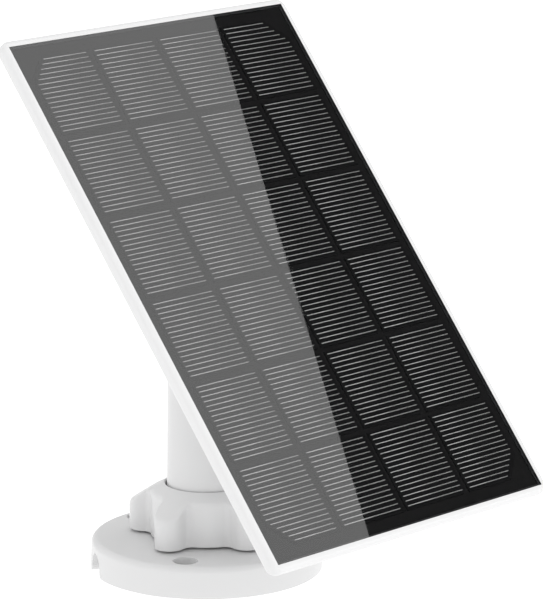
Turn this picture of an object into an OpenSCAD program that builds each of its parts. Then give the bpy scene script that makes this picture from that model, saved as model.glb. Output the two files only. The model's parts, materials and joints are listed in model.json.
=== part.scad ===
// Solar panel on a swivelling, tilting wall bracket, in millimetres.
// Origin: centre of the wall base's underside. +Z leaves the wall along the stem, the panel faces -Y.

/* [Solar panel] */
// Width of the panel across its short side
panel_w = 117; // [110:1:130]
// Length of the panel up its long side
panel_l = 174.3; // [170:0.1:190]
// Thickness of the panel at its edge
panel_t = 5.1; // [5.1:0.1:6]
// Width of the white rim round the dark face
rim_w = 2.2; // [1.8:0.1:3]
// Cells across the panel
cell_cols = 4; // [2:1:4]
// Cells up the panel
cell_rows = 6; // [2:1:6]
// Distance between cell centres across the panel
cell_pitch_x = 26.9; // [24:0.1:26.9]
// Distance between cell centres up the panel
cell_pitch_y = 27.1; // [24:0.1:27.1]
// Cut across the outermost corners of the cell field
field_cut = 7; // [0:0.5:9]

/* [Stance] */
// Angle of the panel above horizontal
panel_tilt = 51; // [0:1:70]
// Height of the tilt pin above the wall
pivot_z = 71.5; // [70:0.5:90]
// Distance from the tilt pin to the front of the rim
pivot_to_front = 39.3; // [39.3:0.1:45]

/* [Wall base] */
// Diameter of the base disc
base_d = 70; // [70:0.5:80]
// Height of the base disc
base_h = 9.6; // [9.5:0.1:12]
// Round on the disc's upper edge
base_round = 2; // [1:0.5:3]
// Diameter of the circle through the screw holes
screw_pcd = 56.4; // [54:0.2:57]
// Direction of the first screw hole, in degrees
screw_turn = 92; // [88:1:96]
// Diameter of each screw hole
screw_hole_d = 4.5; // [3.5:0.1:5]
// Diameter of each screw head's recess
screw_head_d = 7.5; // [6.5:0.1:8.5]
// Direction of the cable notch in the rim, in degrees
notch_angle = 152; // [145:0.5:155]

/* [Star nut] */
// Number of grip lobes
nut_lobes = 5; // [4:1:6]
// Radius over the lobes
nut_r = 24.1; // [22:0.1:24.5]
// Radius of the round end of a lobe
lobe_r = 4.4; // [3.5:0.1:4.8]
// Radius of the hub between the lobes
nut_hub_r = 16.9; // [16:0.1:17.5]
// Direction of the first lobe, in degrees
nut_turn = 46.5; // [0:0.5:71]

/* [Stem] */
// Radius of the stem where it enters the collar
stem_r = 11.85; // [11.6:0.05:11.85]
// Radius of the stem at its head
stem_top_r = 11.4; // [11.2:0.05:11.8]

/* [Hidden] */
fine = 96;
small = 32;
over = 1;          // how far a cutter runs past the face that it opens
fit = 0.06;        // radial clearance of a running fit
gap = 0.1;         // space between faces that slide or turn on each other

// Base
base_top_t = 3;
base_wall_t = 3.5;
base_draft = 0.3;
base_foot = 0.15;
base_floor_z = base_h - base_top_t;
foot_hub_r = 8.2;
foot_hub_wall = 1.8;
mid_ring_r = 21.3;
base_rib_t = 1.4;
base_rib_z = 1;
hole_boss_r = 5.8;
head_recess_z = base_h - 5.5;
notch_w = 7.5;
notch_h = 6.6;
notch_flare = 2.2;

// Collar and nut
collar_r = 14;
collar_bore_r = stem_r + fit;
collar_top_z = base_h + 11.5;
collar_cone_h = 2;
collar_cone_in = 1.2;
slit_w = 1.2;
slit_z = base_h + 3;
nut_z0 = base_h + 0.7;
nut_top_z = base_h + 16.5;
nut_shoulder_z = base_h + 8.9;
nut_crown_r = 13.1;
nut_bore_r = collar_r + gap;
nut_mouth_r = 12.35;
nut_seat_z = base_h + 13.2;

// Stem and its foot
stem_z0 = base_h + 0.6;
stem_taper_z0 = base_h + 16.5;
stem_wall = 2.6;
stem_hollow_z = [base_h + 6.5, pivot_z - 14.5];
spigot_r = 5;
spigot_hole_r = spigot_r + fit;
spigot_z0 = base_floor_z - 0.2;

// Tilt joint, measured from the pin
fork_half_slot = 4.9;
fork_round_r = 9.5;
fork_floor = 9.4;
tongue_half_w = 4.3;
tongue_r = 9;
tongue_neck_w = 14;
arm_head_r = 9.5;
arm_head_z = [10.6, 15.5];
bolt_r = 2.5;
bolt_head_r = 4.25;
bolt_seat_x = 8;
bolt_washer_t = 0.5;
bolt_head_t = 2.4;
bolt_end_x = -10.7;
hex_flats = 8;
hex_nut_x = [-10.5, -7.5];
sleeve_r = 3.4;

// Panel layers, measured from the pin towards the front
front_z = pivot_to_front;
tray_back_z = front_z - panel_t;
pocket_z = tray_back_z + 2.5;
pocket_w = panel_w - 2 * rim_w;
pocket_l = panel_l - 2 * rim_w;
foam_t = 0.8;
board_z = pocket_z + foam_t;
cell_z = front_z - 1;
cell_t = 0.25;
cover_z = [front_z - 0.65, front_z - 0.15];
cell_w = cell_pitch_x - 1.4;
cell_l = cell_pitch_y - 1.4;
cell_cut = 1.2;

// Junction box on the panel's back
box_w = 76;
box_l = 60;
box_z0 = tray_back_z - 8.5;
box_wall = 2.5;
box_back = 2;
box_corner_r = 9;
insert_boss_r = 8;
box_screw_x = box_w / 2 - 6.5;
box_screw_y = box_l / 2 - 6.5;
box_screw_r = 1.1;
box_column_r = 3.4;
circuit_z = [box_z0 + 5.9, box_z0 + 7.5];
circuit_post = [15.4, -16.4];
circuit_w = 34;
circuit_y = [-26.8, -10];
socket_w = 8.9;
socket_h = 3.2;
socket_y = [-29, -21.5];
socket_mid_z = circuit_z[0] - socket_h / 2;
lead_x = 9;
lead_y = -16;
flap_pin_y = -31.5;
flap_pin_z = box_z0 + 1.6;
flap_pin_r = 0.6;
flap_half_w = 8;
lug_x = [8.3, 10.3];

// Threaded joint between arm and panel, measured from the pin along the stud
stud_r = 3.15;
stud_z = [5, box_z0 + 5.7];
insert_r = 5.5;
insert_z = [box_z0, box_z0 + 6.9];
lock_ring_r = 12.5;
lock_ring_z = [box_z0 - 7.9, box_z0 - 1.4];
lock_ring_grips = 14;
ring_washer_z = [box_z0 - 1.3, box_z0 - 0.1];

// ---- Shared shapes ----

// A ring round Z
module ring(r_out, r_in, z0, z1, sides = fine) {
    difference() {
        translate([0, 0, z0]) cylinder(r = r_out, h = z1 - z0, $fn = sides);
        translate([0, 0, z0 - over]) cylinder(r = r_in, h = z1 - z0 + 2 * over, $fn = sides);
    }
}

// A rod round Z
module rod(r, z0, z1, sides = fine) {
    translate([0, 0, z0]) cylinder(r = r, h = z1 - z0, $fn = sides);
}

// A rod along X through the tilt pin's axis
module cross_rod(r, x0, x1, sides = fine) {
    translate([x0, 0, 0]) rotate([0, 90, 0]) cylinder(r = r, h = x1 - x0, $fn = sides);
}

// A box given by its low and high corners
module block(low, high) {
    translate(low) cube(high - low);
}

// What a round takes off a corner at (x, z); up is 1 on a top corner and -1 on a bottom one
module corner_cut(x, z, r, up) {
    if (r > 0)
        difference() {
            translate([x - r, up > 0 ? z - r : z - over]) square(r + over);
            translate([x - r, z - up * r]) circle(r, $fn = fine);
        }
}

// Half section of a slab, out to reach, with its outer corners rounded
module rounded_profile(reach, z0, z1, bottom_r, top_r) {
    difference() {
        translate([0, z0]) square([reach, z1 - z0]);
        corner_cut(reach, z1, top_r, 1);
        corner_cut(reach, z0, bottom_r, -1);
    }
}

// A disc round Z with rounded edges
module rounded_disc(r, z0, z1, bottom_r, top_r) {
    rotate_extrude($fn = fine) rounded_profile(r, z0, z1, bottom_r, top_r);
}

// A rectangular slab with round corners in plan and rounded front and back edges
module rounded_slab(w, l, z0, z1, corner_r, bottom_r, top_r) {
    for (quarter = [0:3])
        translate([(w / 2 - corner_r) * (quarter == 0 || quarter == 3 ? 1 : -1),
                   (l / 2 - corner_r) * (quarter < 2 ? 1 : -1), 0])
            rotate([0, 0, 90 * quarter])
                rotate_extrude(angle = 90, $fn = fine)
                    rounded_profile(corner_r, z0, z1, bottom_r, top_r);
    slab_bar(w, l - 2 * corner_r, z0, z1, bottom_r, top_r);
    rotate([0, 0, 90]) slab_bar(l, w - 2 * corner_r, z0, z1, bottom_r, top_r);
}

// The part of a slab between its round corners, along Y
module slab_bar(w, l, z0, z1, bottom_r, top_r) {
    rotate([90, 0, 0])
        linear_extrude(l, center = true)
            for (side = [0, 1])
                mirror([side, 0]) rounded_profile(w / 2, z0, z1, bottom_r, top_r);
}

// Puts what was drawn in the panel's own frame, with Z as the way it faces, in its place
module on_panel() {
    translate([0, 0, pivot_z]) rotate([panel_tilt, 0, 0]) children();
}

// Puts what was drawn round the tilt pin in its place
module at_pivot() {
    translate([0, 0, pivot_z]) children();
}

// ---- Base ----

module screw_places() {
    for (turn = [0:2])
        rotate([0, 0, screw_turn + 120 * turn]) translate([screw_pcd / 2, 0, 0]) children();
}

// Outline of the cable notch, seen along the way it leaves, with flared feet
module notch_outline() {
    half = notch_w / 2;
    translate([0, notch_h - half]) circle(half, $fn = fine);
    translate([-half, -over]) square([notch_w, notch_h - half + over]);
    for (side = [0, 1])
        mirror([side, 0])
            difference() {
                translate([half - 0.01, -over]) square([notch_flare, notch_flare + over]);
                translate([half + notch_flare, notch_flare]) circle(notch_flare, $fn = fine);
            }
}

// The base disc: a slightly drafted wall under a rounded edge
module base_disc() {
    foot_r = base_d / 2;
    top_r = foot_r - base_draft;
    rotate_extrude($fn = fine)
        difference() {
            polygon([[0, 0], [foot_r - base_foot, 0], [foot_r, base_foot], [top_r, base_h - base_round],
                     [top_r, base_h], [0, base_h]]);
            corner_cut(top_r, base_h, base_round, 1);
        }
}

module base_puck() {
    color("white")
        difference() {
            union() {
                difference() {
                    base_disc();
                    rod(base_d / 2 - base_wall_t, -over, base_floor_z);
                }
                ring(foot_hub_r + foot_hub_wall, foot_hub_r, base_rib_z, base_h - over);
                ring(mid_ring_r + base_rib_t / 2, mid_ring_r - base_rib_t / 2, base_rib_z, base_h - over);
                for (turn = [0:11])
                    rotate([0, 0, screw_turn + 15 + 30 * turn])
                        translate([foot_hub_r + 1, -base_rib_t / 2, base_rib_z])
                            cube([base_d / 2 - base_wall_t / 2 - foot_hub_r - 1, base_rib_t,
                                  base_floor_z]);
                screw_places() rod(hole_boss_r, 0, base_h - over);
                rod(collar_r, base_h - over, collar_top_z - collar_cone_h);
                translate([0, 0, collar_top_z - collar_cone_h])
                    cylinder(r1 = collar_r, r2 = collar_r - collar_cone_in, h = collar_cone_h, $fn = fine);
            }
            rod(foot_hub_r, -over, base_floor_z);
            rod(spigot_hole_r, 0, base_h + over);
            rod(collar_bore_r, base_h, collar_top_z + over);
            for (turn = [0:2])
                rotate([0, 0, 60 * turn])
                    translate([-collar_r - over, -slit_w / 2, slit_z])
                        cube([2 * (collar_r + over), slit_w, collar_top_z]);
            screw_places() {
                rod(screw_hole_d / 2, -over, base_h);
                rod(screw_head_d / 2, head_recess_z, base_h + over);
            }
            rotate([0, 0, notch_angle])
                translate([base_d / 2 - base_wall_t - 2.5, 0, 0])
                    rotate([90, 0, 90]) linear_extrude(base_wall_t + 5) notch_outline();
        }
}

module thrust_washer() {
    color("dimgray") ring(stem_r - 0.6, spigot_hole_r, base_h, stem_z0 - gap);
}

module clamp_ring() {
    cone_z = collar_top_z - 1;
    cone_r = collar_r - collar_cone_in / 2 + 0.15;
    color("gainsboro")
        rotate_extrude($fn = fine)
            polygon([[cone_r, cone_z], [collar_r - 0.05, cone_z], [collar_r - 0.05, nut_seat_z - gap],
                     [nut_mouth_r + 0.2, nut_seat_z - gap],
                     [nut_mouth_r + 0.2, cone_z + (cone_r - nut_mouth_r - 0.2) * 2 / collar_cone_in]]);
}

// Outline of the nut: a hub with round-ended lobes, and a fillet in each corner between them
module star_outline() {
    fillet_r = 3;
    lobe_at = nut_r - lobe_r;
    blend_at = nut_hub_r + fillet_r;
    blend_y = lobe_r + fillet_r;
    blend_x = sqrt(blend_at * blend_at - blend_y * blend_y);
    touch = nut_hub_r / blend_at;
    difference() {
        union() {
            circle(nut_hub_r, $fn = fine);
            for (turn = [0:nut_lobes - 1])
                rotate(turn * 360 / nut_lobes) {
                    translate([0, -lobe_r]) square([lobe_at, 2 * lobe_r]);
                    translate([lobe_at, 0]) circle(lobe_r, $fn = fine);
                    polygon([[blend_x * touch, -blend_y * touch], [blend_x, -blend_y],
                             [blend_x, blend_y], [blend_x * touch, blend_y * touch]]);
                }
        }
        for (turn = [0:nut_lobes - 1], side = [-1, 1])
            rotate(turn * 360 / nut_lobes) translate([blend_x, side * blend_y]) circle(fillet_r, $fn = fine);
    }
}

module star_nut() {
    color("whitesmoke")
        difference() {
            intersection() {
                rotate([0, 0, nut_turn])
                    translate([0, 0, nut_z0]) linear_extrude(nut_top_z - nut_z0) star_outline();
                rotate_extrude($fn = fine)
                    polygon([[0, nut_z0], [nut_r - 0.5, nut_z0], [nut_r, nut_z0 + 0.5],
                             [nut_r, nut_shoulder_z], [nut_r - 0.6, nut_shoulder_z + 0.9],
                             [nut_hub_r, nut_top_z - 2.3], [nut_crown_r, nut_top_z - 0.2],
                             [nut_crown_r - 0.35, nut_top_z], [0, nut_top_z]]);
            }
            rod(nut_bore_r, nut_z0 - over, nut_seat_z);
            rod(nut_mouth_r, nut_z0, nut_top_z + over);
        }
}

// ---- Stem, turning in the collar ----

// Side view of the fork: round above the pin, with a sloped shoulder down to the full stem
module fork_outline() {
    r = fork_round_r;
    circle(r, $fn = fine);
    polygon([[-stem_top_r, -r - over], [stem_top_r, -r - over], [stem_top_r, -r], [r, -r + 2],
             [r, 0], [-r, 0], [-r, -r + 2], [-stem_top_r, -r]]);
}

module stem() {
    color("white")
        difference() {
            union() {
                rod(stem_r, stem_z0, stem_taper_z0);
                translate([0, 0, stem_taper_z0])
                    cylinder(r1 = stem_r, r2 = stem_top_r, h = pivot_z - fork_round_r - stem_taper_z0,
                             $fn = fine);
                rod(spigot_r, spigot_z0, stem_z0 + over);
                intersection() {
                    rod(stem_top_r, pivot_z - fork_round_r - over, pivot_z + fork_round_r + over);
                    at_pivot() rotate([90, 0, 90]) linear_extrude(2 * stem_r, center = true) fork_outline();
                }
            }
            rod(stem_top_r - stem_wall, stem_hollow_z[0], stem_hollow_z[1]);
            rod(1.5, spigot_z0 - over, spigot_z0 + 7, small);
            at_pivot() {
                block([-fork_half_slot, -stem_r - over, -fork_floor],
                      [fork_half_slot, stem_r + over, fork_round_r + over]);
                cross_rod(bolt_r + 0.1, -stem_r - over, stem_r + over);
                cross_rod(bolt_head_r + 0.6, bolt_seat_x, stem_r + over);
                rotate([0, 0, 180])
                    cross_rod(hex_flats / sqrt(3) + 0.15, -hex_nut_x[1], stem_r + over, 6);
            }
        }
}

module foot_washer() {
    color("silver") ring(foot_hub_r - 0.6, 1.7, spigot_z0 - 0.8, spigot_z0);
}

module foot_screw() {
    color("silver") {
        difference() {
            rounded_disc(3, spigot_z0 - 3.2, spigot_z0 - 0.8, 1, 0);
            for (turn = [0, 90])
                rotate([0, 0, turn])
                    block([-1.7, -0.4, spigot_z0 - 4], [1.7, 0.4, spigot_z0 - 2.2]);
        }
        rod(1.4, spigot_z0 - 1, spigot_z0 + 6, small);
    }
}

// ---- Tilt joint ----

module tilt_bolt() {
    head_x = bolt_seat_x + bolt_washer_t;
    color("silver")
        at_pivot()
            difference() {
                union() {
                    rotate([0, 90, 0]) rounded_disc(bolt_head_r, head_x, head_x + bolt_head_t, 0, 0.8);
                    cross_rod(bolt_r, bolt_end_x, head_x + 0.1);
                }
                cross_rod(2.3, head_x + 0.9, head_x + 5, 6);
            }
}

module bolt_washer() {
    color("silver") at_pivot() rotate([0, 90, 0])
        ring(bolt_head_r + 0.4, bolt_r + 0.1, bolt_seat_x, bolt_seat_x + bolt_washer_t);
}

module tilt_nut() {
    color("silver")
        at_pivot()
            difference() {
                cross_rod(hex_flats / sqrt(3), hex_nut_x[0], hex_nut_x[1], 6);
                cross_rod(bolt_r, hex_nut_x[0] - over, hex_nut_x[1] + over);
            }
}

module tilt_arm() {
    color("white")
        on_panel()
            difference() {
                union() {
                    cross_rod(tongue_r, -tongue_half_w, tongue_half_w);
                    block([-tongue_half_w, -tongue_neck_w / 2, 0],
                          [tongue_half_w, tongue_neck_w / 2, arm_head_z[0] + over]);
                    rounded_disc(arm_head_r, arm_head_z[0], arm_head_z[1], 1, 1);
                }
                cross_rod(sleeve_r, -tongue_half_w - over, tongue_half_w + over);
                rod(stud_r, stud_z[0], arm_head_z[1] + over);
            }
}

module hinge_sleeve() {
    color("silver") on_panel() rotate([0, 90, 0])
        ring(sleeve_r, bolt_r + fit, -tongue_half_w, tongue_half_w);
}

module friction_washers() {
    color("dimgray")
        on_panel()
            for (side = [0, 1])
                mirror([side, 0, 0]) rotate([0, 90, 0])
                    ring(tongue_r - 2, bolt_r + 0.1, tongue_half_w, fork_half_slot - gap / 2);
}

// ---- Threaded joint ----

module mount_stud() {
    color("silver")
        on_panel() {
            rod(stud_r, stud_z[0], stud_z[1] - 0.6);
            translate([0, 0, stud_z[1] - 0.6]) cylinder(r1 = stud_r, r2 = stud_r - 0.6, h = 0.6, $fn = fine);
        }
}

module ring_washer() {
    color("dimgray") on_panel() ring(10.4, stud_r + 0.1, ring_washer_z[0], ring_washer_z[1]);
}

module lock_ring() {
    color("white")
        on_panel()
            difference() {
                rounded_disc(lock_ring_r, lock_ring_z[0], lock_ring_z[1], 1, 0.6);
                rod(stud_r + fit, lock_ring_z[0] - over, lock_ring_z[1] + over);
                for (turn = [0:lock_ring_grips - 1])
                    rotate([0, 0, turn * 360 / lock_ring_grips])
                        translate([lock_ring_r + 0.9, 0, 0])
                            rod(1.7, lock_ring_z[0] - over, lock_ring_z[1] + over, small);
            }
}

// ---- Panel ----

module panel_tray() {
    color("white")
        on_panel()
            difference() {
                rounded_slab(panel_w, panel_l, tray_back_z, front_z, 3.2, 3, 1.4);
                block([-pocket_w / 2, -pocket_l / 2, pocket_z], [pocket_w / 2, pocket_l / 2, front_z + over]);
                block([-lead_x - 4, lead_y - 4, tray_back_z - over], [lead_x + 4, lead_y + 4, front_z]);
                for (sx = [-1, 1], sy = [-1, 1])
                    translate([sx * box_screw_x, sy * box_screw_y, 0])
                        rod(box_screw_r + 0.05, tray_back_z - over, pocket_z + over, small);
            }
}

module foam_frame() {
    foam_w = pocket_w - 1;
    foam_l = pocket_l - 1;
    strip = 8;
    color("gray")
        on_panel()
            difference() {
                block([-foam_w / 2, -foam_l / 2, pocket_z], [foam_w / 2, foam_l / 2, board_z]);
                block([strip - foam_w / 2, strip - foam_l / 2, pocket_z - over],
                      [foam_w / 2 - strip, foam_l / 2 - strip, board_z + over]);
            }
}

module backing_board() {
    half_w = pocket_w / 2 - 0.1;
    half_l = pocket_l / 2 - 0.1;
    color("black") on_panel() block([-half_w, -half_l, board_z], [half_w, half_l, cell_z]);
}

// One cell; the corner of the whole field that it fills, if any, is cut across
module cell(x, y, cut) {
    half_w = cell_w / 2;
    half_l = cell_l / 2;
    translate([x, y, cell_z])
        linear_extrude(cell_t)
            mirror([x < 0 ? 1 : 0, 0]) mirror([0, y < 0 ? 1 : 0])
                polygon([[-half_w, -half_l], [half_w, -half_l], [half_w, half_l - cut],
                         [half_w - cut, half_l], [-half_w, half_l]]);
}

module solar_cells() {
    last_x = (cell_cols - 1) / 2;
    last_y = (cell_rows - 1) / 2;
    color("black")
        on_panel()
            for (i = [-last_x:last_x], j = [-last_y:last_y])
                cell(i * cell_pitch_x, j * cell_pitch_y,
                     abs(i) == last_x && abs(j) == last_y ? field_cut : cell_cut);
}

module bus_ribbons() {
    ribbon_l = pocket_l / 2 - 14;
    color("silver")
        on_panel()
            for (side = [-1, 1])
                block([side * lead_x - 1.5, -ribbon_l, board_z - 0.2],
                      [side * lead_x + 1.5, ribbon_l, board_z]);
}

module front_cover() {
    half_w = pocket_w / 2 - 0.05;
    half_l = pocket_l / 2 - 0.05;
    color("lightcyan", 0.3) on_panel() block([-half_w, -half_l, cover_z[0]], [half_w, half_l, cover_z[1]]);
}

// ---- Junction box ----

module box_corners() {
    for (sx = [-1, 1], sy = [-1, 1])
        translate([sx * box_screw_x, sy * box_screw_y, 0]) children();
}

// The loop that the seal fills, inset from the box's outline and this wide
module seal_loop(inset, width, z0, z1) {
    inner = inset + width;
    difference() {
        rounded_slab(box_w - 2 * inset, box_l - 2 * inset, z0, z1, box_corner_r - inset, 0, 0);
        rounded_slab(box_w - 2 * inner, box_l - 2 * inner, z0 - over, z1 + over, box_corner_r - inner, 0, 0);
    }
}

module flap_lugs() {
    for (side = [0, 1])
        mirror([side, 0, 0]) {
            block([lug_x[0], flap_pin_y, flap_pin_z - 1.1], [lug_x[1], 1 - box_l / 2, flap_pin_z + 1.1]);
            translate([0, flap_pin_y, flap_pin_z]) cross_rod(1.1, lug_x[0], lug_x[1], small);
        }
}

module junction_box() {
    color("white")
        on_panel()
            difference() {
                union() {
                    difference() {
                        rounded_slab(box_w, box_l, box_z0, tray_back_z, box_corner_r, 2, 0);
                        rounded_slab(box_w - 2 * box_wall, box_l - 2 * box_wall, box_z0 + box_back,
                                     tray_back_z + over, box_corner_r - box_wall, 0, 0);
                    }
                    rod(insert_boss_r, box_z0 + box_back / 2, tray_back_z);
                    box_corners() rod(box_column_r, box_z0 + box_back / 2, tray_back_z);
                    for (side = [-1, 1])
                        translate([side * circuit_post[0], circuit_post[1], 0])
                            rod(1.2, box_z0 + box_back / 2, circuit_z[0], small);
                    flap_lugs();
                }
                rod(insert_r, insert_z[0] - over, insert_z[1]);
                box_corners() {
                    rod(2.4, box_z0 - over, box_z0 + 1.8, small);
                    rod(box_screw_r + 0.05, box_z0, tray_back_z + over, small);
                }
                seal_loop(0.8, 0.9, tray_back_z - 0.9, tray_back_z + over);
                oval_bar(socket_w + 0.3, socket_h + 0.3, -box_l / 2 - over, box_wall - box_l / 2 + over,
                         socket_mid_z);
                translate([0, flap_pin_y, flap_pin_z])
                    cross_rod(flap_pin_r, -lug_x[1] - over, lug_x[1] + over, small);
            }
}

module box_seal() {
    color("dimgray") on_panel() seal_loop(0.9, 0.7, tray_back_z - 0.9, tray_back_z);
}

module box_screws() {
    color("silver")
        on_panel()
            box_corners() {
                difference() {
                    rounded_disc(2.2, box_z0 + 0.2, box_z0 + 1.8, 0.7, 0);
                    for (turn = [0, 90])
                        rotate([0, 0, turn]) block([-1.3, -0.3, box_z0 - over], [1.3, 0.3, box_z0 + 1]);
                }
                rod(box_screw_r, box_z0 + 1.7, pocket_z - 0.2, small);
            }
}

module thread_insert() {
    color("goldenrod") on_panel() ring(insert_r, stud_r + fit, insert_z[0], insert_z[1]);
}

module regulator_board() {
    color("seagreen")
        on_panel()
            block([-circuit_w / 2, circuit_y[0], circuit_z[0]], [circuit_w / 2, circuit_y[1], circuit_z[1]]);
}

module power_inductor() {
    color("dimgray")
        on_panel()
            translate([11, -21, 0]) rounded_slab(6, 6, circuit_z[0] - 3, circuit_z[0], 1.2, 0.3, 0);
}

module control_chip() {
    color("black")
        on_panel() {
            block([-2, -15.5, circuit_z[0] - 1.2], [2, -11.5, circuit_z[0] - 0.1]);
            for (side = [-1, 1], i = [-1, 0, 1])
                block([side * 2.5 - 0.6, i * 1.2 - 13.7, circuit_z[0] - 0.3],
                      [side * 2.5 + 0.6, i * 1.2 - 13.3, circuit_z[0]]);
        }
}

module filter_capacitors() {
    color("tan")
        on_panel()
            for (x = [-14, -10.6], y = [-24.5, -19.5])
                block([x - 1.2, y - 1.6, circuit_z[0] - 2], [x + 1.2, y + 1.6, circuit_z[0]]);
}

module blocking_diode() {
    color("black")
        on_panel() {
            block([-13.5, -14.2, circuit_z[0] - 2.2], [-9.5, -11.6, circuit_z[0] - 0.2]);
            for (x = [-14.3, -10.1])
                block([x, -13.5, circuit_z[0] - 0.6], [x + 1.4, -12.3, circuit_z[0]]);
        }
}

module lead(side) {
    on_panel() translate([side * lead_x, lead_y, 0]) rod(0.6, circuit_z[1], board_z - 0.2, small);
}

module positive_lead() {
    color("red") lead(1);
}

module negative_lead() {
    color("black") lead(-1);
}

// A rounded bar along Y with a flat oval section
module oval_bar(w, h, y0, y1, mid_z) {
    translate([0, y1, mid_z])
        rotate([90, 0, 0])
            linear_extrude(y1 - y0) {
                square([w - h, h], center = true);
                for (side = [-1, 1])
                    translate([side * (w - h) / 2, 0]) circle(h / 2, $fn = fine);
            }
}

module output_socket() {
    color("silver")
        on_panel() {
            difference() {
                oval_bar(socket_w, socket_h, socket_y[0], socket_y[1], socket_mid_z);
                oval_bar(socket_w - 0.6, socket_h - 0.6, socket_y[0] - over, socket_y[1] - 1, socket_mid_z);
            }
            block([-3.3, socket_y[0] + 1, socket_mid_z - 0.35],
                  [3.3, socket_y[1] - 0.5, socket_mid_z + 0.35]);
        }
}

module socket_seal() {
    seal_y = box_wall - box_l / 2;
    color("dimgray")
        on_panel()
            difference() {
                oval_bar(socket_w + 2.4, socket_h + 1.4, seal_y, seal_y + 0.7, socket_mid_z + 0.2);
                oval_bar(socket_w, socket_h, seal_y - over, seal_y + 1 + over, socket_mid_z);
                block([-10, seal_y - over, circuit_z[0]], [10, seal_y + 2, circuit_z[1] + over]);
            }
}

module flap_pin() {
    color("silver")
        on_panel()
            translate([0, flap_pin_y, flap_pin_z]) cross_rod(flap_pin_r, -lug_x[1], lug_x[1], small);
}

module socket_flap() {
    color("dimgray")
        on_panel()
            translate([0, flap_pin_y, flap_pin_z])
                difference() {
                    union() {
                        cross_rod(1.2, -flap_half_w, flap_half_w, small);
                        block([-flap_half_w, -0.4, 0], [flap_half_w, 1.2, 6.2]);
                    }
                    cross_rod(flap_pin_r + fit, -flap_half_w - over, flap_half_w + over, small);
                }
}

base_puck();
thrust_washer();
clamp_ring();
star_nut();
stem();
foot_washer();
foot_screw();
tilt_bolt();
bolt_washer();
tilt_nut();
tilt_arm();
hinge_sleeve();
friction_washers();
mount_stud();
ring_washer();
lock_ring();
panel_tray();
foam_frame();
backing_board();
solar_cells();
bus_ribbons();
front_cover();
junction_box();
box_seal();
box_screws();
thread_insert();
regulator_board();
power_inductor();
control_chip();
filter_capacitors();
blocking_diode();
positive_lead();
negative_lead();
output_socket();
socket_seal();
flap_pin();
socket_flap();
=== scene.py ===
"""Solar panel on a wall bracket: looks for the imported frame, in metres, with Z up and the panel facing -Y."""

import json
import math

import bmesh
import bpy
from mathutils import Matrix, Vector


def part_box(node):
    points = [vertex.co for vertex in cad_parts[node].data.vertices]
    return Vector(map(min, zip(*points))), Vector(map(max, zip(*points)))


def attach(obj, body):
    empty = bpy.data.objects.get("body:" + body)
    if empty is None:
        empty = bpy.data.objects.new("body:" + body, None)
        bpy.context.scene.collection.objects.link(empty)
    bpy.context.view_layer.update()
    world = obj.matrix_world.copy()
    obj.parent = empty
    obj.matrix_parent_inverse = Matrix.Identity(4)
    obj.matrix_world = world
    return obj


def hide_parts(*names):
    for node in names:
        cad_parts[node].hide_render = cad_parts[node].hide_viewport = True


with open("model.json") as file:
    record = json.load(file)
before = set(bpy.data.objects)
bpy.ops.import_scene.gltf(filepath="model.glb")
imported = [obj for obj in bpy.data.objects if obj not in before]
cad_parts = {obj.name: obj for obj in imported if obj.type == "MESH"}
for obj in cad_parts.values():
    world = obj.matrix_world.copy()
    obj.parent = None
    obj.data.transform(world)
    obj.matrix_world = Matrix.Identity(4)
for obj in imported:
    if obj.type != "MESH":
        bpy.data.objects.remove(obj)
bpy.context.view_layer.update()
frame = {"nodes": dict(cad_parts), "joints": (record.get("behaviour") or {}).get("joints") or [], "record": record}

MM = 0.001
NODES = frame["nodes"]
JOINTS = {joint["name"]: joint for joint in frame["joints"]}

# ---------------------------------------------------------------- camera

SENSOR_MM = 36.0
CAMERA_AT = Vector((-0.79506, -0.7912, 0.34414))
CAMERA_LOOKS = Vector((0.7021, 0.6747, -0.22756)).normalized()
CAMERA_LENS_MM = 232.5


def add_camera():
    data = bpy.data.cameras.new("studio_camera")
    data.sensor_fit = "VERTICAL"
    data.sensor_height = SENSOR_MM
    data.sensor_width = SENSOR_MM
    data.lens = CAMERA_LENS_MM
    data.clip_start = 0.05
    data.clip_end = 40
    camera = bpy.data.objects.new("studio_camera", data)
    camera.location = CAMERA_AT
    camera.rotation_euler = CAMERA_LOOKS.to_track_quat("-Z", "Y").to_euler()
    bpy.context.scene.collection.objects.link(camera)
    bpy.context.scene.camera = camera


# ---------------------------------------------------------------- places from the frame

PIVOT = Vector(JOINTS["panel_tilt"]["pos_m"])
FACING = Vector(JOINTS["panel_roll"]["axis"]).normalized()
ACROSS = Vector((1, 0, 0))
UP_PANEL = FACING.cross(ACROSS).normalized()
# Panel frame: X across, Y up the panel and Z the way it faces, from the tilt pin
PANEL = Matrix.Translation(PIVOT) @ Matrix((ACROSS, UP_PANEL, FACING)).transposed().to_4x4()
WORLD = Matrix.Identity(4)


def local_box(node, place):
    """Lowest and highest corners of a CAD node in the frame that place maps from."""
    back = place.inverted()
    points = [back @ v.co for v in NODES[node].data.vertices]
    low = Vector([min(p[i] for p in points) for i in range(3)])
    high = Vector([max(p[i] for p in points) for i in range(3)])
    return low, high


# ---------------------------------------------------------------- node materials


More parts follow.
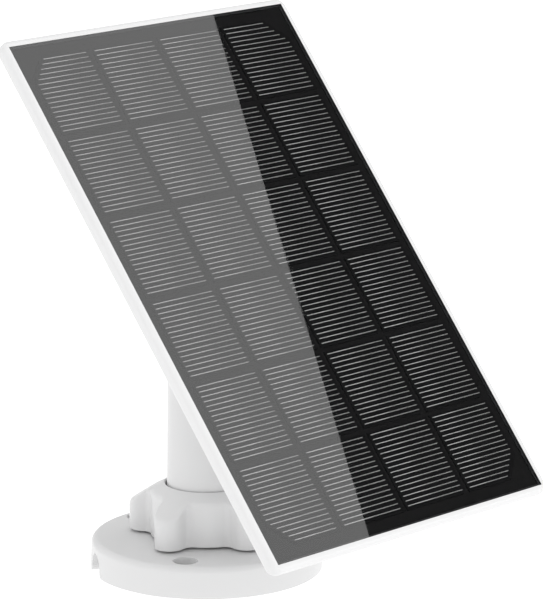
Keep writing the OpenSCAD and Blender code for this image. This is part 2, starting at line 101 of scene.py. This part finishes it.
class Nodes:
    """A short way to build a material's nodes."""

    def __init__(self, name):
        self.material = bpy.data.materials.new(name)
        self.material.use_nodes = True
        self.tree = self.material.node_tree
        self.tree.nodes.clear()
        self.output = self.tree.nodes.new("ShaderNodeOutputMaterial")
        self.place = self.add("ShaderNodeTexCoord").outputs["Object"]

    def add(self, kind, **inputs):
        node = self.tree.nodes.new(kind)
        for name, value in inputs.items():
            self.put(node.inputs[name.replace("_", " ")], value)
        return node

    def put(self, socket, value):
        if isinstance(value, bpy.types.NodeSocket):
            self.tree.links.new(value, socket)
        else:
            socket.default_value = value

    def noise(self, scale, detail=2.0, roughness=0.5):
        node = self.add("ShaderNodeTexNoise", Vector=self.place, Scale=scale, Detail=detail)
        node.inputs["Roughness"].default_value = roughness
        return node.outputs["Fac"]

    def ramp(self, fac, low, high):
        """Maps fac from 0..1 to low..high, which are numbers or colours."""
        if isinstance(low, (int, float)):
            node = self.add("ShaderNodeMapRange", Value=fac)
            node.inputs["To Min"].default_value = low
            node.inputs["To Max"].default_value = high
            return node.outputs["Result"]
        node = self.add("ShaderNodeMix")
        node.data_type = "RGBA"
        self.put(node.inputs["Factor"], fac)
        self.put(node.inputs["A"], (*low, 1))
        self.put(node.inputs["B"], (*high, 1))
        return node.outputs["Result"]

    def math(self, operation, a, b=0.0):
        node = self.add("ShaderNodeMath")
        node.operation = operation
        self.put(node.inputs[0], a)
        self.put(node.inputs[1], b)
        return node.outputs[0]

    def bump(self, height, distance, strength=1.0):
        node = self.add("ShaderNodeBump", Height=height)
        node.inputs["Distance"].default_value = distance
        node.inputs["Strength"].default_value = strength
        return node.outputs["Normal"]

    def finish(self, shader):
        self.tree.links.new(shader.outputs[0], self.output.inputs["Surface"])
        return self.material


def moulded_plastic(name, colour, roughness, grain_mm=0.35, grain_depth_mm=0.012, mottling=0.02):
    """Injection-moulded plastic: fine spark-eroded grain, faint mottling and slightly uneven gloss."""
    n = Nodes(name)
    patches = n.noise(60, 3)
    dark = tuple(c * (1 - mottling) for c in colour)
    base = n.ramp(patches, dark, colour)
    grain = n.noise(1 / (grain_mm * MM), 2, 0.6)
    shine = n.math("ADD", n.ramp(n.noise(220, 3), -0.05, 0.05), roughness)
    shader = n.add("ShaderNodeBsdfPrincipled", Base_Color=base, Roughness=shine)
    shader.inputs["IOR"].default_value = 1.48
    n.put(shader.inputs["Normal"], n.bump(grain, grain_depth_mm * MM))
    return n.finish(shader)


def metal(name, colour, roughness, scratch_scale=(900, 900, 60), plating=0.08):
    """Plated or machined metal with fine drawn scratches and cloudy plating."""
    n = Nodes(name)
    stretched = n.add("ShaderNodeMapping", Vector=n.place)
    stretched.inputs["Scale"].default_value = scratch_scale
    scratches = n.add("ShaderNodeTexNoise", Vector=stretched.outputs[0], Scale=1.0, Detail=4.0).outputs["Fac"]
    clouds = n.noise(140, 4)
    base = n.ramp(clouds, tuple(c * (1 - plating) for c in colour), colour)
    shine = n.math("ADD", n.ramp(scratches, -0.08, 0.08), roughness)
    shader = n.add("ShaderNodeBsdfPrincipled", Base_Color=base, Roughness=shine)
    shader.inputs["Metallic"].default_value = 1.0
    n.put(shader.inputs["Normal"], n.bump(scratches, 0.006 * MM))
    return n.finish(shader)


def rubber(name, colour, roughness=0.75, grain_mm=0.5, depth_mm=0.03):
    """Matte rubber or foam with a soft uneven surface."""
    n = Nodes(name)
    grain = n.noise(1 / (grain_mm * MM), 3, 0.65)
    bloom = n.noise(90, 3)
    base = n.ramp(bloom, colour, tuple(min(1, c * 1.35 + 0.004) for c in colour))
    shine = n.ramp(grain, roughness - 0.08, roughness + 0.08)
    shader = n.add("ShaderNodeBsdfPrincipled", Base_Color=base, Roughness=shine)
    n.put(shader.inputs["Normal"], n.bump(grain, depth_mm * MM))
    return n.finish(shader)


def silicon():
    """Near-black antireflective cell: faint crystal streaks under the clear sheet."""
    n = Nodes("cell_silicon")
    streaks = n.add("ShaderNodeMapping", Vector=n.place)
    streaks.inputs["Scale"].default_value = (120, 700, 700)
    crystal = n.add("ShaderNodeTexNoise", Vector=streaks.outputs[0], Scale=1.0, Detail=3.0).outputs["Fac"]
    base = n.ramp(crystal, (0.0095, 0.0096, 0.0099), (0.0115, 0.0117, 0.0121))
    shader = n.add("ShaderNodeBsdfPrincipled", Base_Color=base, Roughness=n.ramp(crystal, 0.45, 0.6))
    shader.inputs["Specular IOR Level"].default_value = 0.0
    return n.finish(shader)


def black_board():
    """Black laminate round and between the cells, with a very fine weave."""
    n = Nodes("black_board")
    weave = n.noise(2600, 2)
    base = n.ramp(weave, (0.0122, 0.0122, 0.0125), (0.0142, 0.0142, 0.0145))
    shader = n.add("ShaderNodeBsdfPrincipled", Base_Color=base, Roughness=n.ramp(weave, 0.5, 0.65))
    shader.inputs["Specular IOR Level"].default_value = 0.0
    n.put(shader.inputs["Normal"], n.bump(weave, 0.004 * MM))
    return n.finish(shader)


def printed_silver():
    """Screen-printed silver paste: pale, slightly metallic and unevenly fired."""
    n = Nodes("printed_silver")
    paste = n.noise(3000, 3)
    base = n.ramp(paste, (0.27, 0.27, 0.268), (0.32, 0.32, 0.318))
    shader = n.add("ShaderNodeBsdfPrincipled", Base_Color=base, Roughness=n.ramp(paste, 0.06, 0.1))
    shader.inputs["IOR"].default_value = 3.2
    return n.finish(shader)


def clear_sheet():
    """Clear cover: what is behind it shows through, and both its faces mirror by Fresnel's law."""
    n = Nodes("clear_cover")
    smudge = n.ramp(n.noise(35, 3), 0.0, 0.02)
    fresnel = n.add("ShaderNodeFresnel")
    fresnel.inputs["IOR"].default_value = 1.6
    both_faces = n.math("MULTIPLY", fresnel.outputs[0], 2.0)
    front = n.math("SUBTRACT", 1.0, n.add("ShaderNodeNewGeometry").outputs["Backfacing"])
    gloss = n.add("ShaderNodeBsdfGlossy", Roughness=smudge)
    gloss.inputs["Color"].default_value = (1, 1, 1, 1)
    see = n.add("ShaderNodeBsdfTransparent")
    mixed = n.add("ShaderNodeMixShader", Fac=n.math("MULTIPLY", both_faces, front))
    n.tree.links.new(see.outputs[0], mixed.inputs[1])
    n.tree.links.new(gloss.outputs[0], mixed.inputs[2])
    return n.finish(mixed)


def circuit_green():
    """Green solder mask over copper tracks."""
    n = Nodes("circuit_green")
    tracks = n.add("ShaderNodeTexBrick", Vector=n.place)
    tracks.inputs["Scale"].default_value = 900
    tracks.inputs["Mortar Size"].default_value = 0.08
    tracks.inputs["Color1"].default_value = (0.012, 0.11, 0.035, 1)
    tracks.inputs["Color2"].default_value = (0.016, 0.14, 0.045, 1)
    tracks.inputs["Mortar"].default_value = (0.03, 0.2, 0.07, 1)
    shader = n.add("ShaderNodeBsdfPrincipled", Base_Color=tracks.outputs["Color"],
                   Roughness=n.ramp(n.noise(400, 2), 0.25, 0.4))
    n.put(shader.inputs["Normal"], n.bump(tracks.outputs["Fac"], 0.01 * MM))
    return n.finish(shader)


MATERIALS = {
    "white_shell": moulded_plastic("white_shell", (0.63, 0.63, 0.632), 0.32),
    "white_grip": moulded_plastic("white_grip", (0.64, 0.64, 0.642), 0.3),
    "white_frame": moulded_plastic("white_frame", (0.68, 0.68, 0.682), 0.3, 0.3, 0.006),
    "natural_nylon": moulded_plastic("natural_nylon", (0.72, 0.71, 0.66), 0.45),
    "black_polymer": moulded_plastic("black_polymer", (0.028, 0.028, 0.03), 0.5, mottling=0.2),
    "red_lead": moulded_plastic("red_lead", (0.5, 0.018, 0.015), 0.35, mottling=0.1),
    "tan_ceramic": moulded_plastic("tan_ceramic", (0.45, 0.3, 0.17), 0.5, mottling=0.15),
    "steel": metal("steel", (0.62, 0.62, 0.61), 0.3),
    "brass": metal("brass", (0.72, 0.53, 0.24), 0.26),
    "tinned_ribbon": metal("tinned_ribbon", (0.7, 0.7, 0.69), 0.34),
    "seal_rubber": rubber("seal_rubber", (0.035, 0.035, 0.036)),
    "grey_rubber": rubber("grey_rubber", (0.6, 0.6, 0.605), 0.62, 0.4, 0.02),
    "foam_tape": rubber("foam_tape", (0.09, 0.09, 0.092), 0.9, 0.7, 0.15),
    "black_board": black_board(),
    "cell_silicon": silicon(),
    "printed_silver": printed_silver(),
    "clear_cover": clear_sheet(),
    "circuit_green": circuit_green(),
}


# ---------------------------------------------------------------- mesh tools


def soften(mesh, angle_deg=32):
    """Shades smooth, and keeps edges sharper than the angle crisp."""
    work = bmesh.new()
    work.from_mesh(mesh)
    bmesh.ops.recalc_face_normals(work, faces=work.faces)
    limit = math.radians(angle_deg)
    for edge in work.edges:
        edge.smooth = len(edge.link_faces) == 2 and edge.calc_face_angle(0) < limit
    for face in work.faces:
        face.smooth = True
    work.to_mesh(mesh)
    work.free()


def add_piece(name, mesh, material, body, stands_for=()):
    """Puts a finished mesh in the scene, on its body, in its material."""
    soften(mesh)
    piece = bpy.data.objects.new(name, mesh)
    bpy.context.scene.collection.objects.link(piece)
    mesh.materials.append(MATERIALS[material])
    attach(piece, body)
    if stands_for:
        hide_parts(*stands_for)
    return piece


def loft(name, loops, place=WORLD, ring=False):
    """A mesh through closed loops of equal length, capped at both ends unless ring joins last to first."""
    work = bmesh.new()
    rows = [[work.verts.new(place @ Vector(p)) for p in loop] for loop in loops]
    pairs = list(zip(rows, rows[1:]))
    if ring:
        pairs.append((rows[-1], rows[0]))
    for low, high in pairs:
        for i in range(len(low)):
            j = (i + 1) % len(low)
            work.faces.new((low[i], low[j], high[j], high[i]))
    if not ring:
        work.faces.new(list(reversed(rows[0])))
        work.faces.new(rows[-1])
    mesh = bpy.data.meshes.new(name)
    work.to_mesh(mesh)
    work.free()
    return mesh


def arc(centre, radius, start_deg, end_deg, steps):
    """Points round a centre, as (x, y) pairs, both ends included."""
    turns = [math.radians(start_deg + (end_deg - start_deg) * i / steps) for i in range(steps + 1)]
    return [(centre[0] + radius * math.cos(t), centre[1] + radius * math.sin(t)) for t in turns]


def rounded_rect(width, length, radius, z, steps=10):
    """A closed loop round a rectangle with round corners, counterclockwise."""
    loop = []
    corners = ((1, 1, 0), (-1, 1, 90), (-1, -1, 180), (1, -1, 270))
    for sx, sy, start in corners:
        centre = (sx * (width / 2 - radius), sy * (length / 2 - radius))
        loop += [(x, y, z) for x, y in arc(centre, radius, start, start + 90, steps)]
    return loop


# ---------------------------------------------------------------- panel


POCKET_CORNER = 0.06 * MM


def make_panel_frame():
    """The white tray: rounded back and front edges, a flat lip, and a crisp pocket for the dark face."""
    low, high = local_box("panel_tray", PANEL)
    width, length = high.x - low.x, high.y - low.y
    back, front = low.z, high.z
    cover_low, cover_high = local_box("front_cover", PANEL)
    pocket_w = cover_high.x - cover_low.x + 0.1 * MM
    pocket_l = cover_high.y - cover_low.y + 0.1 * MM
    floor = local_box("foam_frame", PANEL)[0].z
    corner, back_round, front_round = 3.2 * MM, 3.0 * MM, 1.4 * MM
    edge = 0.12 * MM
    steps = 8
    loops = []
    for x, z in arc((0, 0), back_round, -90, 0, steps):
        inset = back_round - x
        height = back + back_round + z
        loops.append(rounded_rect(width - 2 * inset, length - 2 * inset, corner - inset, height))
    for x, z in arc((0, 0), front_round, 0, 90, steps):
        inset = front_round - x
        height = front - front_round + z
        loops.append(rounded_rect(width - 2 * inset, length - 2 * inset, corner - inset, height))
    loops.append(rounded_rect(pocket_w + 2 * edge, pocket_l + 2 * edge, POCKET_CORNER + edge, front))
    loops.append(rounded_rect(pocket_w, pocket_l, POCKET_CORNER, front - edge))
    loops.append(rounded_rect(pocket_w, pocket_l, POCKET_CORNER, floor))
    mesh = loft("panel_frame", loops, PANEL)
    return add_piece("panel_frame", mesh, "white_frame", "panel", ["panel_tray"])


def make_sealant():
    """The black bead that the clear cover is bedded in, up to just under the lip."""
    cover_low, cover_high = local_box("front_cover", PANEL)
    board_top = local_box("backing_board", PANEL)[1].z
    lip = local_box("panel_tray", PANEL)[1].z
    width, length = cover_high.x - cover_low.x, cover_high.y - cover_low.y
    hair = 0.005 * MM
    # How far out from the cover's edge each corner of the bead's section is, and its height
    section = ((0.045 * MM, board_top + hair), (0.045 * MM, lip - 0.13 * MM), (hair, lip - 0.13 * MM),
               (hair, cover_low.z - hair), (-0.6 * MM, cover_low.z - hair), (-0.6 * MM, board_top + hair))
    loops = [rounded_rect(width + 2 * out, length + 2 * out, POCKET_CORNER, z, 2) for out, z in section]
    mesh = loft("cover_sealant", loops, PANEL, ring=True)
    return add_piece("cover_sealant", mesh, "black_polymer", "panel")


CELL_COLUMNS, CELL_ROWS = 4, 6
CELL_WIDTH, CELL_LENGTH = 25.5 * MM, 25.7 * MM
FINGERS_PER_CELL = 16
FINGER_SPACING = 1.566 * MM
FINGER_LENGTH = 23.5 * MM
FINGER_WIDTH = 0.26 * MM
FINGER_HEIGHT = 0.03 * MM
FINGER_SHIFT = 0.2 * MM
# How far the outermost finger of a corner cell is cut back, and how fast that shrinks inwards
CORNER_CUT = 6.6 * MM
CORNER_SLOPE = 0.9


def cell_centres():
    """Centres of the cells in the panel frame, from the CAD cells' own box."""
    low, high = local_box("solar_cells", PANEL)
    pitch_x = (high.x - low.x - CELL_WIDTH) / (CELL_COLUMNS - 1)
    pitch_y = (high.y - low.y - CELL_LENGTH) / (CELL_ROWS - 1)
    for i in range(CELL_COLUMNS):
        for j in range(CELL_ROWS):
            x = (i - (CELL_COLUMNS - 1) / 2) * pitch_x
            y = (j - (CELL_ROWS - 1) / 2) * pitch_y
            outer = i in (0, CELL_COLUMNS - 1) and j in (0, CELL_ROWS - 1)
            yield x, y, outer


def add_bar(work, x0, x1, y0, y1, z0, z1, place):
    """A thin bar with sloped sides, as printed paste has."""
    slope = 0.25 * (y1 - y0)
    bottom = [(x0, y0, z0), (x1, y0, z0), (x1, y1, z0), (x0, y1, z0)]
    top = [(x0 + slope, y0 + slope, z1), (x1 - slope, y0 + slope, z1),
           (x1 - slope, y1 - slope, z1), (x0 + slope, y1 - slope, z1)]
    a = [work.verts.new(place @ Vector(p)) for p in bottom]
    b = [work.verts.new(place @ Vector(p)) for p in top]
    work.faces.new(list(reversed(a)))
    work.faces.new(b)
    for i in range(4):
        j = (i + 1) % 4
        work.faces.new((a[i], a[j], b[j], b[i]))


def make_fingers():
    """The printed silver lines on every cell, shortened across the field's four outer corners."""
    top = local_box("solar_cells", PANEL)[1].z
    work = bmesh.new()
    half_span = (FINGERS_PER_CELL - 1) / 2 * FINGER_SPACING
    for cx, cy, outer in cell_centres():
        for k in range(FINGERS_PER_CELL):
            offset = k * FINGER_SPACING - half_span
            x0, x1 = cx - FINGER_LENGTH / 2, cx + FINGER_LENGTH / 2
            if outer:
                from_edge = half_span - math.copysign(1, cy) * offset
                cut = max(0.0, CORNER_CUT - CORNER_SLOPE * from_edge)
                x0 += cut if cx < 0 else 0
                x1 -= cut if cx > 0 else 0
            y = cy + offset + FINGER_SHIFT
            add_bar(work, x0, x1, y - FINGER_WIDTH / 2, y + FINGER_WIDTH / 2, top, top + FINGER_HEIGHT, PANEL)
    mesh = bpy.data.meshes.new("cell_fingers")
    work.to_mesh(mesh)
    work.free()
    return add_piece("cell_fingers", mesh, "printed_silver", "panel")


# ---------------------------------------------------------------- star nut


def star_outline(lobes, tip_at, tip_r, hub_r, fillet_r, turn_deg):
    """Outline of the nut as (radius, angle) pairs: lobe ends, side fillets and the hub between them."""
    blend_at = hub_r + fillet_r
    blend_y = tip_r + fillet_r
    blend_x = math.sqrt(blend_at**2 - blend_y**2)
    blend_deg = math.degrees(math.atan2(blend_y, blend_x))
    step = 360 / lobes
    points = []
    for k in range(lobes):
        turn = math.radians(k * step + turn_deg)
        one = arc((tip_at, 0), tip_r, -90, 90, 20)
        one += arc((blend_x, blend_y), fillet_r, 270, 180 + blend_deg, 8)[1:]
        one += arc((0, 0), hub_r, blend_deg, step - blend_deg, 8)[1:]
        far = math.radians(step)
        mirrored = [(x * math.cos(far) + y * math.sin(far), x * math.sin(far) - y * math.cos(far))
                    for x, y in arc((blend_x, blend_y), fillet_r, 180 + blend_deg, 270, 8)[1:-1]]
        one += mirrored
        for x, y in one:
            points.append((math.hypot(x, y), math.atan2(y, x) + turn))
    return points


def crown_height(r, profile):
    """Height of the nut's crown at a radius, by straight lines between the profile's points."""
    for (r0, z0), (r1, z1) in zip(profile, profile[1:]):
        if r >= r1:
            share = min(1, max(0, (r - r0) / (r1 - r0)))
            return z0 + (z1 - z0) * share
    return profile[-1][1]


def ring_loop(outline, radius, z):
    """A circle with one point for each point of an outline."""
    return [(radius * math.cos(turn), radius * math.sin(turn), z) for _, turn in outline]


def make_star_nut():
    """The hand nut: five soft lobes under a shallow crown, and a mouth round the stem."""
    low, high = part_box("star_nut")
    outer, tip, hub = 24.1 * MM, 4.4 * MM, 16.9 * MM
    bottom, top = low.z, high.z
    shoulder = top - 7.6 * MM
    crown = [(outer, shoulder), (outer - 0.6 * MM, shoulder + 0.9 * MM), (hub, top - 2.3 * MM),
             (13.1 * MM, top - 0.2 * MM), (12.75 * MM, top)]
    outline = star_outline(5, outer - tip, tip, hub, 3.0 * MM, 46.5)
    mouth, bore = 12.35 * MM, 14.1 * MM
    seat = top - 3.3 * MM
    edge, foot = 1.1 * MM, 0.2 * MM

    def loop(inset, height):
        """The outline drawn in by inset, at a height given by the radius there."""
        points = []
        for r, turn in outline:
            reach = r - inset
            points.append((reach * math.cos(turn), reach * math.sin(turn), height(reach)))
        return points

    loops = [ring_loop(outline, bore, seat), ring_loop(outline, bore, bottom)]
    for x, z in arc((0, 0), foot, -90, 0, 4):
        loops.append(loop(foot - x, lambda r, z=z: bottom + foot + z))
    steps = 8
    for i in range(steps + 1):
        angle = math.radians(90 * i / steps)
        inset = edge * (1 - math.cos(angle))
        drop = edge * (1 - math.sin(angle))
        loops.append(loop(inset, lambda r, drop=drop: crown_height(r, crown) - drop))
    rows = 10
    for i in range(1, rows + 1):
        share = i / rows
        points = []
        for r, turn in outline:
            start = r - edge
            reach = start + (mouth + 0.3 * MM - start) * share
            points.append((reach * math.cos(turn), reach * math.sin(turn), crown_height(reach, crown)))
        loops.append(points)
    loops.append(ring_loop(outline, mouth, top - 0.3 * MM))
    loops.append(ring_loop(outline, mouth, seat))
    mesh = loft("star_nut_soft", loops, ring=True)
    return add_piece("star_nut_soft", mesh, "white_grip", "nut", ["star_nut"])


# ---------------------------------------------------------------- carried-over CAD nodes

BEVELS_MM = {
    "base_puck": 0.25, "stem": 0.35, "tilt_arm": 0.4, "junction_box": 0.25, "lock_ring": 0.35,
    "tilt_bolt": 0.2, "tilt_nut": 0.25, "bolt_washer": 0.1, "socket_flap": 0.3, "output_socket": 0.06,
    "regulator_board": 0.1, "control_chip": 0.06, "power_inductor": 0.1, "filter_capacitors": 0.12,
    "blocking_diode": 0.08, "foam_frame": 0.1, "backing_board": 0.08, "thrust_washer": 0.08,
    "foot_washer": 0.15, "foot_screw": 0.12, "box_screws": 0.1, "ring_washer": 0.2, "thread_insert": 0.15,
}


def dress_node(name, slot):
    """Gives a CAD node its material and, where its edges show, soft edges."""
    node = NODES[name]
    node.data.materials.clear()
    node.data.materials.append(MATERIALS[slot])
    if name not in BEVELS_MM:
        return
    weld = node.modifiers.new("weld", "WELD")
    weld.merge_threshold = 0.002 * MM
    bevel = node.modifiers.new("soft_edges", "BEVEL")
    bevel.width = BEVELS_MM[name] * MM
    bevel.segments = 3
    bevel.limit_method = "ANGLE"
    bevel.angle_limit = math.radians(40)
    bevel.use_clamp_overlap = True
    bevel.harden_normals = False
    normals = node.modifiers.new("even_normals", "WEIGHTED_NORMAL")
    normals.keep_sharp = True
    normals.weight = 80


def dress_nodes():
    for entry in frame["record"]["subparts"]:
        dress_node(entry["node"], entry["material_slot"])


# ---------------------------------------------------------------- studio

# Strengths are radiances, where 1 is the brightest white that the picture shows
TABLE_LIGHT = 1.25
WORLD_LIGHT = 1.28
MIRRORED_ROOM = 0.5
GLARE_RADIANCE = 0.9
GLARE_SIZE = (0.8, 1.6)
GLARE_AWAY = 1.4
# Where the glare's edge crosses the top and the bottom of the face, as shares of its width
GLARE_TOP_SHARE, GLARE_BOTTOM_SHARE = 0.739, 0.33
SIDE_RADIANCE = 2.0
SIDE_SIZE = (1.2, 0.5)
SIDE_AT = (0.75, -1.3, 0.24)
FLOOR_HALF_SIZE = 8.0


def add_floor():
    """A plain white table, evenly lit from inside, so it takes no shadows."""
    n = Nodes("studio_floor")
    table = n.add("ShaderNodeEmission")
    table.inputs["Color"].default_value = (1, 1, 1, 1)
    table.inputs["Strength"].default_value = TABLE_LIGHT
    n.finish(table)
    work = bmesh.new()
    bmesh.ops.create_grid(work, x_segments=8, y_segments=8, size=FLOOR_HALF_SIZE)
    mesh = bpy.data.meshes.new("studio_floor")
    work.to_mesh(mesh)
    work.free()
    mesh.materials.append(n.material)
    floor = bpy.data.objects.new("studio_floor", mesh)
    bpy.context.scene.collection.objects.link(floor)


# Where the panel's glossy face mirrors the camera's view
MIRRORED_VIEW = (CAMERA_LOOKS - 2 * CAMERA_LOOKS.dot(FACING) * FACING).normalized()


def add_world():
    """Even white light. Glossy surfaces mirror a dimmer room, dark where the cover mirrors the first view."""
    world = bpy.data.worlds.new("studio")
    bpy.context.scene.world = world
    world.use_nodes = True
    tree = world.node_tree
    tree.nodes.clear()
    place = tree.nodes.new("ShaderNodeTexCoord")
    along = tree.nodes.new("ShaderNodeVectorMath")
    along.operation = "DOT_PRODUCT"
    along.inputs[1].default_value = MIRRORED_VIEW
    tree.links.new(place.outputs["Generated"], along.inputs[0])
    room = tree.nodes.new("ShaderNodeMapRange")
    room.inputs["From Min"].default_value = 0.5
    room.inputs["From Max"].default_value = 0.85
    room.inputs["To Min"].default_value = MIRRORED_ROOM
    room.inputs["To Max"].default_value = 0.0
    tree.links.new(along.outputs["Value"], room.inputs["Value"])
    path = tree.nodes.new("ShaderNodeLightPath")
    pick = tree.nodes.new("ShaderNodeMix")
    pick.inputs["A"].default_value = WORLD_LIGHT
    tree.links.new(path.outputs["Is Glossy Ray"], pick.inputs["Factor"])
    tree.links.new(room.outputs["Result"], pick.inputs["B"])
    background = tree.nodes.new("ShaderNodeBackground")
    background.inputs["Color"].default_value = (1, 1, 1, 1)
    tree.links.new(pick.outputs["Result"], background.inputs["Strength"])
    output = tree.nodes.new("ShaderNodeOutputWorld")
    tree.links.new(background.outputs[0], output.inputs["Surface"])


def add_soft_box(name, size, radiance):
    """A rectangular lamp, unseen by the camera, that shines along its own -Z."""
    data = bpy.data.lights.new(name, "AREA")
    data.shape = "RECTANGLE"
    data.size, data.size_y = size
    data.energy = radiance * math.pi * size[0] * size[1]
    lamp = bpy.data.objects.new(name, data)
    lamp.visible_camera = False
    bpy.context.scene.collection.objects.link(lamp)
    return lamp


def add_glare_box():
    """The soft box whose straight edge the cover mirrors. It stands in a plane parallel to the panel."""
    back = PANEL.inverted()
    eye = back @ CAMERA_AT
    cover_low, cover_high = local_box("front_cover", PANEL)
    front = cover_high.z
    width = cover_high.x - cover_low.x
    scale = 1 + GLARE_AWAY / (eye.z - front)

    def mirrored(x, y):
        """Where the camera sees a point of the lamp's plane over a point of the face."""
        return Vector((eye.x + (x - eye.x) * scale, eye.y + (y - eye.y) * scale, front + GLARE_AWAY))

    upper = mirrored(cover_low.x + GLARE_TOP_SHARE * width, cover_high.y)
    lower = mirrored(cover_low.x + GLARE_BOTTOM_SHARE * width, cover_low.y)
    edge = (upper - lower).normalized()
    outward = Vector((edge.y, -edge.x, 0))
    if outward.x > 0:
        outward = -outward
    centre = (upper + lower) / 2 + outward * GLARE_SIZE[0] / 2
    turn = Matrix((-outward, edge, (-outward).cross(edge))).transposed()
    # The lamp shines along its own -Z, so that axis points back at the panel
    if turn.col[2].z < 0:
        turn = Matrix((outward, edge, outward.cross(edge))).transposed()
    lamp = add_soft_box("glare_box", GLARE_SIZE, GLARE_RADIANCE)
    lamp.matrix_world = PANEL @ (Matrix.Translation(centre) @ turn.to_4x4())
    lamp.visible_diffuse = False


def add_side_box():
    """A low soft box to the right of the camera, which lifts the sides that face it."""
    lamp = add_soft_box("side_box", SIDE_SIZE, SIDE_RADIANCE)
    lamp.location = SIDE_AT
    lamp.rotation_euler = (-lamp.location).to_track_quat("-Z", "Y").to_euler()


# ---------------------------------------------------------------- build

add_camera()
make_panel_frame()
make_sealant()
make_fingers()
make_star_nut()
dress_nodes()
add_floor()
add_world()
add_glare_box()
add_side_box()

bpy.context.scene.view_settings.view_transform = "Standard"
bpy.context.scene.view_settings.look = "None"
